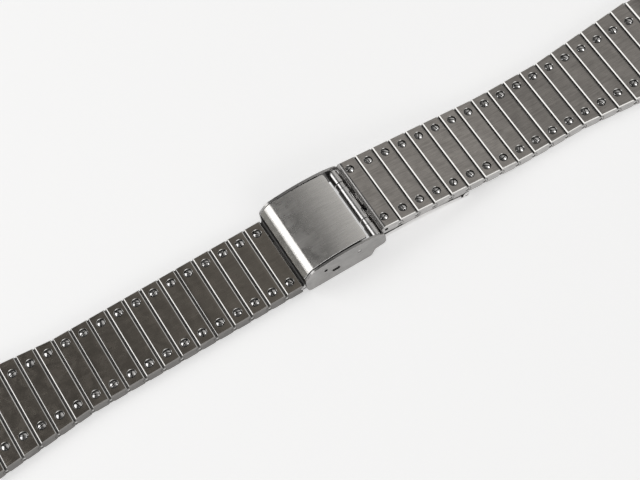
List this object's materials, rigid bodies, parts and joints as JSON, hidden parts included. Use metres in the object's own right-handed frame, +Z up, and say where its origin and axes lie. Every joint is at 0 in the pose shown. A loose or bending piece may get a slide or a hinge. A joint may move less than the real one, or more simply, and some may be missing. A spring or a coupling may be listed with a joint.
{
  "type": "watch bracelet",
  "caption": "Flat-link steel watch bracelet with slotted screws, flared ends, spring bars and a folding clasp under an arched cover, lying closed on a table.",
  "frame": {"origin": "middle of the table area under the whole bracelet, on the table", "axes": "+X along the strap from the half that enters the clasp's nose to the half that carries the folded leaves, +Y across the strap, +Z up from the table"},
  "size_m": [0.1592, 0.0204, 0.0062],
  "materials": {
    "brushed_link": "lengthwise brushed, polished edges",
    "brushed_cover": "lengthwise brushed",
    "brushed_clasp": "fine satin",
    "brushed_leaf": "fine satin",
    "polished_steel": "polished",
    "spring_steel": "drawn wire"
  },
  "bodies": {
    "clasp": {"clasp_channel": "brushed_clasp", "clasp_cover": "brushed_cover", "clasp_hinge_pin": "polished_steel", "adjuster_bar_barrel": "polished_steel", "adjuster_bar_spring": "spring_steel"},
    "tongue": {"tongue": "brushed_link"},
    "outer_leaf": {"outer_leaf": "brushed_leaf", "leaf_hinge_pin": "polished_steel"},
    "inner_leaf": {"inner_leaf": "brushed_leaf", "strap_hinge_pin": "polished_steel"},
    "left_link_01": {"left_link_01": "brushed_link"},
    "left_link_02": {"left_link_02": "brushed_link"},
    "left_link_03": {"left_link_03": "brushed_link"},
    "left_link_04": {"left_link_04": "brushed_link"},
    "left_link_05": {"left_link_05": "brushed_link"},
    "left_link_06": {"left_link_06": "brushed_link"},
    "left_link_07": {"left_link_07": "brushed_link"},
    "left_link_08": {"left_link_08": "brushed_link"},
    "left_link_09": {"left_link_09": "brushed_link"},
    "left_link_10": {"left_link_10": "brushed_link"},
    "left_link_11": {"left_link_11": "brushed_link"},
    "left_link_12": {"left_link_12": "brushed_link"},
    "left_link_13": {"left_link_13": "brushed_link"},
    "left_link_14": {"left_link_14": "brushed_link"},
    "left_link_15": {"left_link_15": "brushed_link"},
    "left_link_16": {"left_link_16": "brushed_link"},
    "left_link_17": {"left_link_17": "brushed_link"},
    "left_link_18": {"left_link_18": "brushed_link"},
    "left_end_piece": {"left_end_piece": "brushed_link", "left_lug_bar_barrel": "polished_steel", "left_lug_bar_spring": "spring_steel"},
    "right_link_01": {"right_link_01": "brushed_link"},
    "right_link_02": {"right_link_02": "brushed_link"},
    "right_link_03": {"right_link_03": "brushed_link"},
    "right_link_04": {"right_link_04": "brushed_link"},
    "right_link_05": {"right_link_05": "brushed_link"},
    "right_link_06": {"right_link_06": "brushed_link"},
    "right_link_07": {"right_link_07": "brushed_link"},
    "right_link_08": {"right_link_08": "brushed_link"},
    "right_link_09": {"right_link_09": "brushed_link"},
    "right_link_10": {"right_link_10": "brushed_link"},
    "right_link_11": {"right_link_11": "brushed_link"},
    "right_link_12": {"right_link_12": "brushed_link"},
    "right_link_13": {"right_link_13": "brushed_link"},
    "right_link_14": {"right_link_14": "brushed_link"},
    "right_link_15": {"right_link_15": "brushed_link"},
    "right_link_16": {"right_link_16": "brushed_link"},
    "right_link_17": {"right_link_17": "brushed_link"},
    "right_link_18": {"right_link_18": "brushed_link"},
    "right_end_piece": {"right_end_piece": "brushed_link", "right_lug_bar_barrel": "polished_steel", "right_lug_bar_spring": "spring_steel"},
    "adjuster_bar_front_tip": {"adjuster_bar_front_tip": "polished_steel"},
    "adjuster_bar_rear_tip": {"adjuster_bar_rear_tip": "polished_steel"},
    "left_lug_bar_front_tip": {"left_lug_bar_front_tip": "polished_steel"},
    "left_lug_bar_rear_tip": {"left_lug_bar_rear_tip": "polished_steel"},
    "right_lug_bar_front_tip": {"right_lug_bar_front_tip": "polished_steel"},
    "right_lug_bar_rear_tip": {"right_lug_bar_rear_tip": "polished_steel"}
  },
  "joints": [
    {"name": "tongue_swing", "type": "hinge", "parent": "clasp", "child": "tongue", "pos_m": [0.00329, 0, 0.00375], "axis": [0, -1, 0], "range_deg": [-3, 8]},
    {"name": "clasp_open", "type": "hinge", "parent": "clasp", "child": "outer_leaf", "pos_m": [0.00734, 0, 0.0038], "axis": [0, -1, 0], "range_deg": [-90, 0]},
    {"name": "leaf_unfold", "type": "hinge", "parent": "outer_leaf", "child": "inner_leaf", "pos_m": [0.02614, 0, 0.00075], "axis": [0, -1, 0], "range_deg": [-165, 0]},
    {"name": "left_hinge_01", "type": "hinge", "parent": "tongue", "child": "left_link_01", "pos_m": [-0.00826, 0, 0.00085], "axis": [0, -1, 0], "range_deg": [-6, 15]},
    {"name": "left_hinge_02", "type": "hinge", "parent": "left_link_01", "child": "left_link_02", "pos_m": [-0.01186, 0, 0.00085], "axis": [0, -1, 0], "range_deg": [-6, 15]},
    {"name": "left_hinge_03", "type": "hinge", "parent": "left_link_02", "child": "left_link_03", "pos_m": [-0.01546, 0, 0.00085], "axis": [0, -1, 0], "range_deg": [-6, 15]},
    {"name": "left_hinge_04", "type": "hinge", "parent": "left_link_03", "child": "left_link_04", "pos_m": [-0.01906, 0, 0.00085], "axis": [0, -1, 0], "range_deg": [-6, 15]},
    {"name": "left_hinge_05", "type": "hinge", "parent": "left_link_04", "child": "left_link_05", "pos_m": [-0.02266, 0, 0.00085], "axis": [0, -1, 0], "range_deg": [-6, 15]},
    {"name": "left_hinge_06", "type": "hinge", "parent": "left_link_05", "child": "left_link_06", "pos_m": [-0.02626, 0, 0.00085], "axis": [0, -1, 0], "range_deg": [-6, 15]},
    {"name": "left_hinge_07", "type": "hinge", "parent": "left_link_06", "child": "left_link_07", "pos_m": [-0.02986, 0, 0.00085], "axis": [0, -1, 0], "range_deg": [-6, 15]},
    {"name": "left_hinge_08", "type": "hinge", "parent": "left_link_07", "child": "left_link_08", "pos_m": [-0.03346, 0, 0.00085], "axis": [0, -1, 0], "range_deg": [-6, 15]},
    {"name": "left_hinge_09", "type": "hinge", "parent": "left_link_08", "child": "left_link_09", "pos_m": [-0.03706, 0, 0.00085], "axis": [0, -1, 0], "range_deg": [-6, 15]},
    {"name": "left_hinge_10", "type": "hinge", "parent": "left_link_09", "child": "left_link_10", "pos_m": [-0.04066, 0, 0.00085], "axis": [0, -1, 0], "range_deg": [-6, 15]},
    {"name": "left_hinge_11", "type": "hinge", "parent": "left_link_10", "child": "left_link_11", "pos_m": [-0.04426, 0, 0.00085], "axis": [0, -1, 0], "range_deg": [-6, 15]},
    {"name": "left_hinge_12", "type": "hinge", "parent": "left_link_11", "child": "left_link_12", "pos_m": [-0.04786, 0, 0.00085], "axis": [0, -1, 0], "range_deg": [-6, 15]},
    {"name": "left_hinge_13", "type": "hinge", "parent": "left_link_12", "child": "left_link_13", "pos_m": [-0.05146, 0, 0.00085], "axis": [0, -1, 0], "range_deg": [-6, 15]},
    {"name": "left_hinge_14", "type": "hinge", "parent": "left_link_13", "child": "left_link_14", "pos_m": [-0.05506, 0, 0.00085], "axis": [0, -1, 0], "range_deg": [-6, 15]},
    {"name": "left_hinge_15", "type": "hinge", "parent": "left_link_14", "child": "left_link_15", "pos_m": [-0.05866, 0, 0.00085], "axis": [0, -1, 0], "range_deg": [-6, 15]},
    {"name": "left_hinge_16", "type": "hinge", "parent": "left_link_15", "child": "left_link_16", "pos_m": [-0.06226, 0, 0.00085], "axis": [0, -1, 0], "range_deg": [-6, 15]},
    {"name": "left_hinge_17", "type": "hinge", "parent": "left_link_16", "child": "left_link_17", "pos_m": [-0.06586, 0, 0.00085], "axis": [0, -1, 0], "range_deg": [-6, 15]},
    {"name": "left_hinge_18", "type": "hinge", "parent": "left_link_17", "child": "left_link_18", "pos_m": [-0.06946, 0, 0.00085], "axis": [0, -1, 0], "range_deg": [-6, 15]},
    {"name": "left_hinge_19", "type": "hinge", "parent": "left_link_18", "child": "left_end_piece", "pos_m": [-0.07306, 0, 0.00085], "axis": [0, -1, 0], "range_deg": [-6, 15]},
    {"name": "right_hinge_01", "type": "hinge", "parent": "inner_leaf", "child": "right_link_01", "pos_m": [0.00934, 0, 0.0049], "axis": [0, 1, 0], "range_deg": [-95, 0]},
    {"name": "right_hinge_02", "type": "hinge", "parent": "right_link_01", "child": "right_link_02", "pos_m": [0.01209, 0, 0.00438], "axis": [0, 1, 0], "range_deg": [-6, 0]},
    {"name": "right_hinge_03", "type": "hinge", "parent": "right_link_02", "child": "right_link_03", "pos_m": [0.01566, 0, 0.0039], "axis": [0, 1, 0], "range_deg": [-6, 0]},
    {"name": "right_hinge_04", "type": "hinge", "parent": "right_link_03", "child": "right_link_04", "pos_m": [0.01923, 0, 0.00343], "axis": [0, 1, 0], "range_deg": [-6, 0]},
    {"name": "right_hinge_05", "type": "hinge", "parent": "right_link_04", "child": "right_link_05", "pos_m": [0.0228, 0, 0.00295], "axis": [0, 1, 0], "range_deg": [-6, 0]},
    {"name": "right_hinge_06", "type": "hinge", "parent": "right_link_05", "child": "right_link_06", "pos_m": [0.02636, 0, 0.00248], "axis": [0, 1, 0], "range_deg": [-6, 8]},
    {"name": "right_hinge_07", "type": "hinge", "parent": "right_link_06", "child": "right_link_07", "pos_m": [0.02993, 0, 0.002], "axis": [0, 1, 0], "range_deg": [-6, 15]},
    {"name": "right_hinge_08", "type": "hinge", "parent": "right_link_07", "child": "right_link_08", "pos_m": [0.0335, 0, 0.00152], "axis": [0, 1, 0], "range_deg": [-6, 15]},
    {"name": "right_hinge_09", "type": "hinge", "parent": "right_link_08", "child": "right_link_09", "pos_m": [0.03707, 0, 0.00105], "axis": [0, 1, 0], "range_deg": [-1.55, 19.45]},
    {"name": "right_hinge_10", "type": "hinge", "parent": "right_link_09", "child": "right_link_10", "pos_m": [0.04066, 0, 0.00085], "axis": [0, 1, 0], "range_deg": [-2.85, 18.16]},
    {"name": "right_hinge_11", "type": "hinge", "parent": "right_link_10", "child": "right_link_11", "pos_m": [0.04426, 0, 0.00085], "axis": [0, 1, 0], "range_deg": [-6, 15]},
    {"name": "right_hinge_12", "type": "hinge", "parent": "right_link_11", "child": "right_link_12", "pos_m": [0.04786, 0, 0.00085], "axis": [0, 1, 0], "range_deg": [-6, 15]},
    {"name": "right_hinge_13", "type": "hinge", "parent": "right_link_12", "child": "right_link_13", "pos_m": [0.05146, 0, 0.00085], "axis": [0, 1, 0], "range_deg": [-6, 15]},
    {"name": "right_hinge_14", "type": "hinge", "parent": "right_link_13", "child": "right_link_14", "pos_m": [0.05506, 0, 0.00085], "axis": [0, 1, 0], "range_deg": [-6, 15]},
    {"name": "right_hinge_15", "type": "hinge", "parent": "right_link_14", "child": "right_link_15", "pos_m": [0.05866, 0, 0.00085], "axis": [0, 1, 0], "range_deg": [-6, 15]},
    {"name": "right_hinge_16", "type": "hinge", "parent": "right_link_15", "child": "right_link_16", "pos_m": [0.06226, 0, 0.00085], "axis": [0, 1, 0], "range_deg": [-6, 15]},
    {"name": "right_hinge_17", "type": "hinge", "parent": "right_link_16", "child": "right_link_17", "pos_m": [0.06586, 0, 0.00085], "axis": [0, 1, 0], "range_deg": [-6, 15]},
    {"name": "right_hinge_18", "type": "hinge", "parent": "right_link_17", "child": "right_link_18", "pos_m": [0.06946, 0, 0.00085], "axis": [0, 1, 0], "range_deg": [-6, 15]},
    {"name": "right_hinge_19", "type": "hinge", "parent": "right_link_18", "child": "right_end_piece", "pos_m": [0.07306, 0, 0.00085], "axis": [0, 1, 0], "range_deg": [-6, 15]},
    {"name": "adjuster_bar_front_press", "type": "slide", "parent": "clasp", "child": "adjuster_bar_front_tip", "axis": [0, 1, 0], "range_m": [0, 0.0008], "stiffness_N_per_m": 800, "springref_m": -0.0006, "deforming": ["adjuster_bar_spring"]},
    {"name": "adjuster_bar_rear_press", "type": "slide", "parent": "clasp", "child": "adjuster_bar_rear_tip", "axis": [0, -1, 0], "range_m": [0, 0.0008], "stiffness_N_per_m": 800, "springref_m": -0.0006, "deforming": ["adjuster_bar_spring"]},
    {"name": "left_lug_bar_front_press", "type": "slide", "parent": "left_end_piece", "child": "left_lug_bar_front_tip", "axis": [0, 1, 0], "range_m": [0, 0.00105], "stiffness_N_per_m": 800, "springref_m": -0.0006, "deforming": ["left_lug_bar_spring"]},
    {"name": "left_lug_bar_rear_press", "type": "slide", "parent": "left_end_piece", "child": "left_lug_bar_rear_tip", "axis": [0, -1, 0], "range_m": [0, 0.00105], "stiffness_N_per_m": 800, "springref_m": -0.0006, "deforming": ["left_lug_bar_spring"]},
    {"name": "right_lug_bar_front_press", "type": "slide", "parent": "right_end_piece", "child": "right_lug_bar_front_tip", "axis": [0, 1, 0], "range_m": [0, 0.00105], "stiffness_N_per_m": 800, "springref_m": -0.0006, "deforming": ["right_lug_bar_spring"]},
    {"name": "right_lug_bar_rear_press", "type": "slide", "parent": "right_end_piece", "child": "right_lug_bar_rear_tip", "axis": [0, -1, 0], "range_m": [0, 0.00105], "stiffness_N_per_m": 800, "springref_m": -0.0006, "deforming": ["right_lug_bar_spring"]}
  ]
}
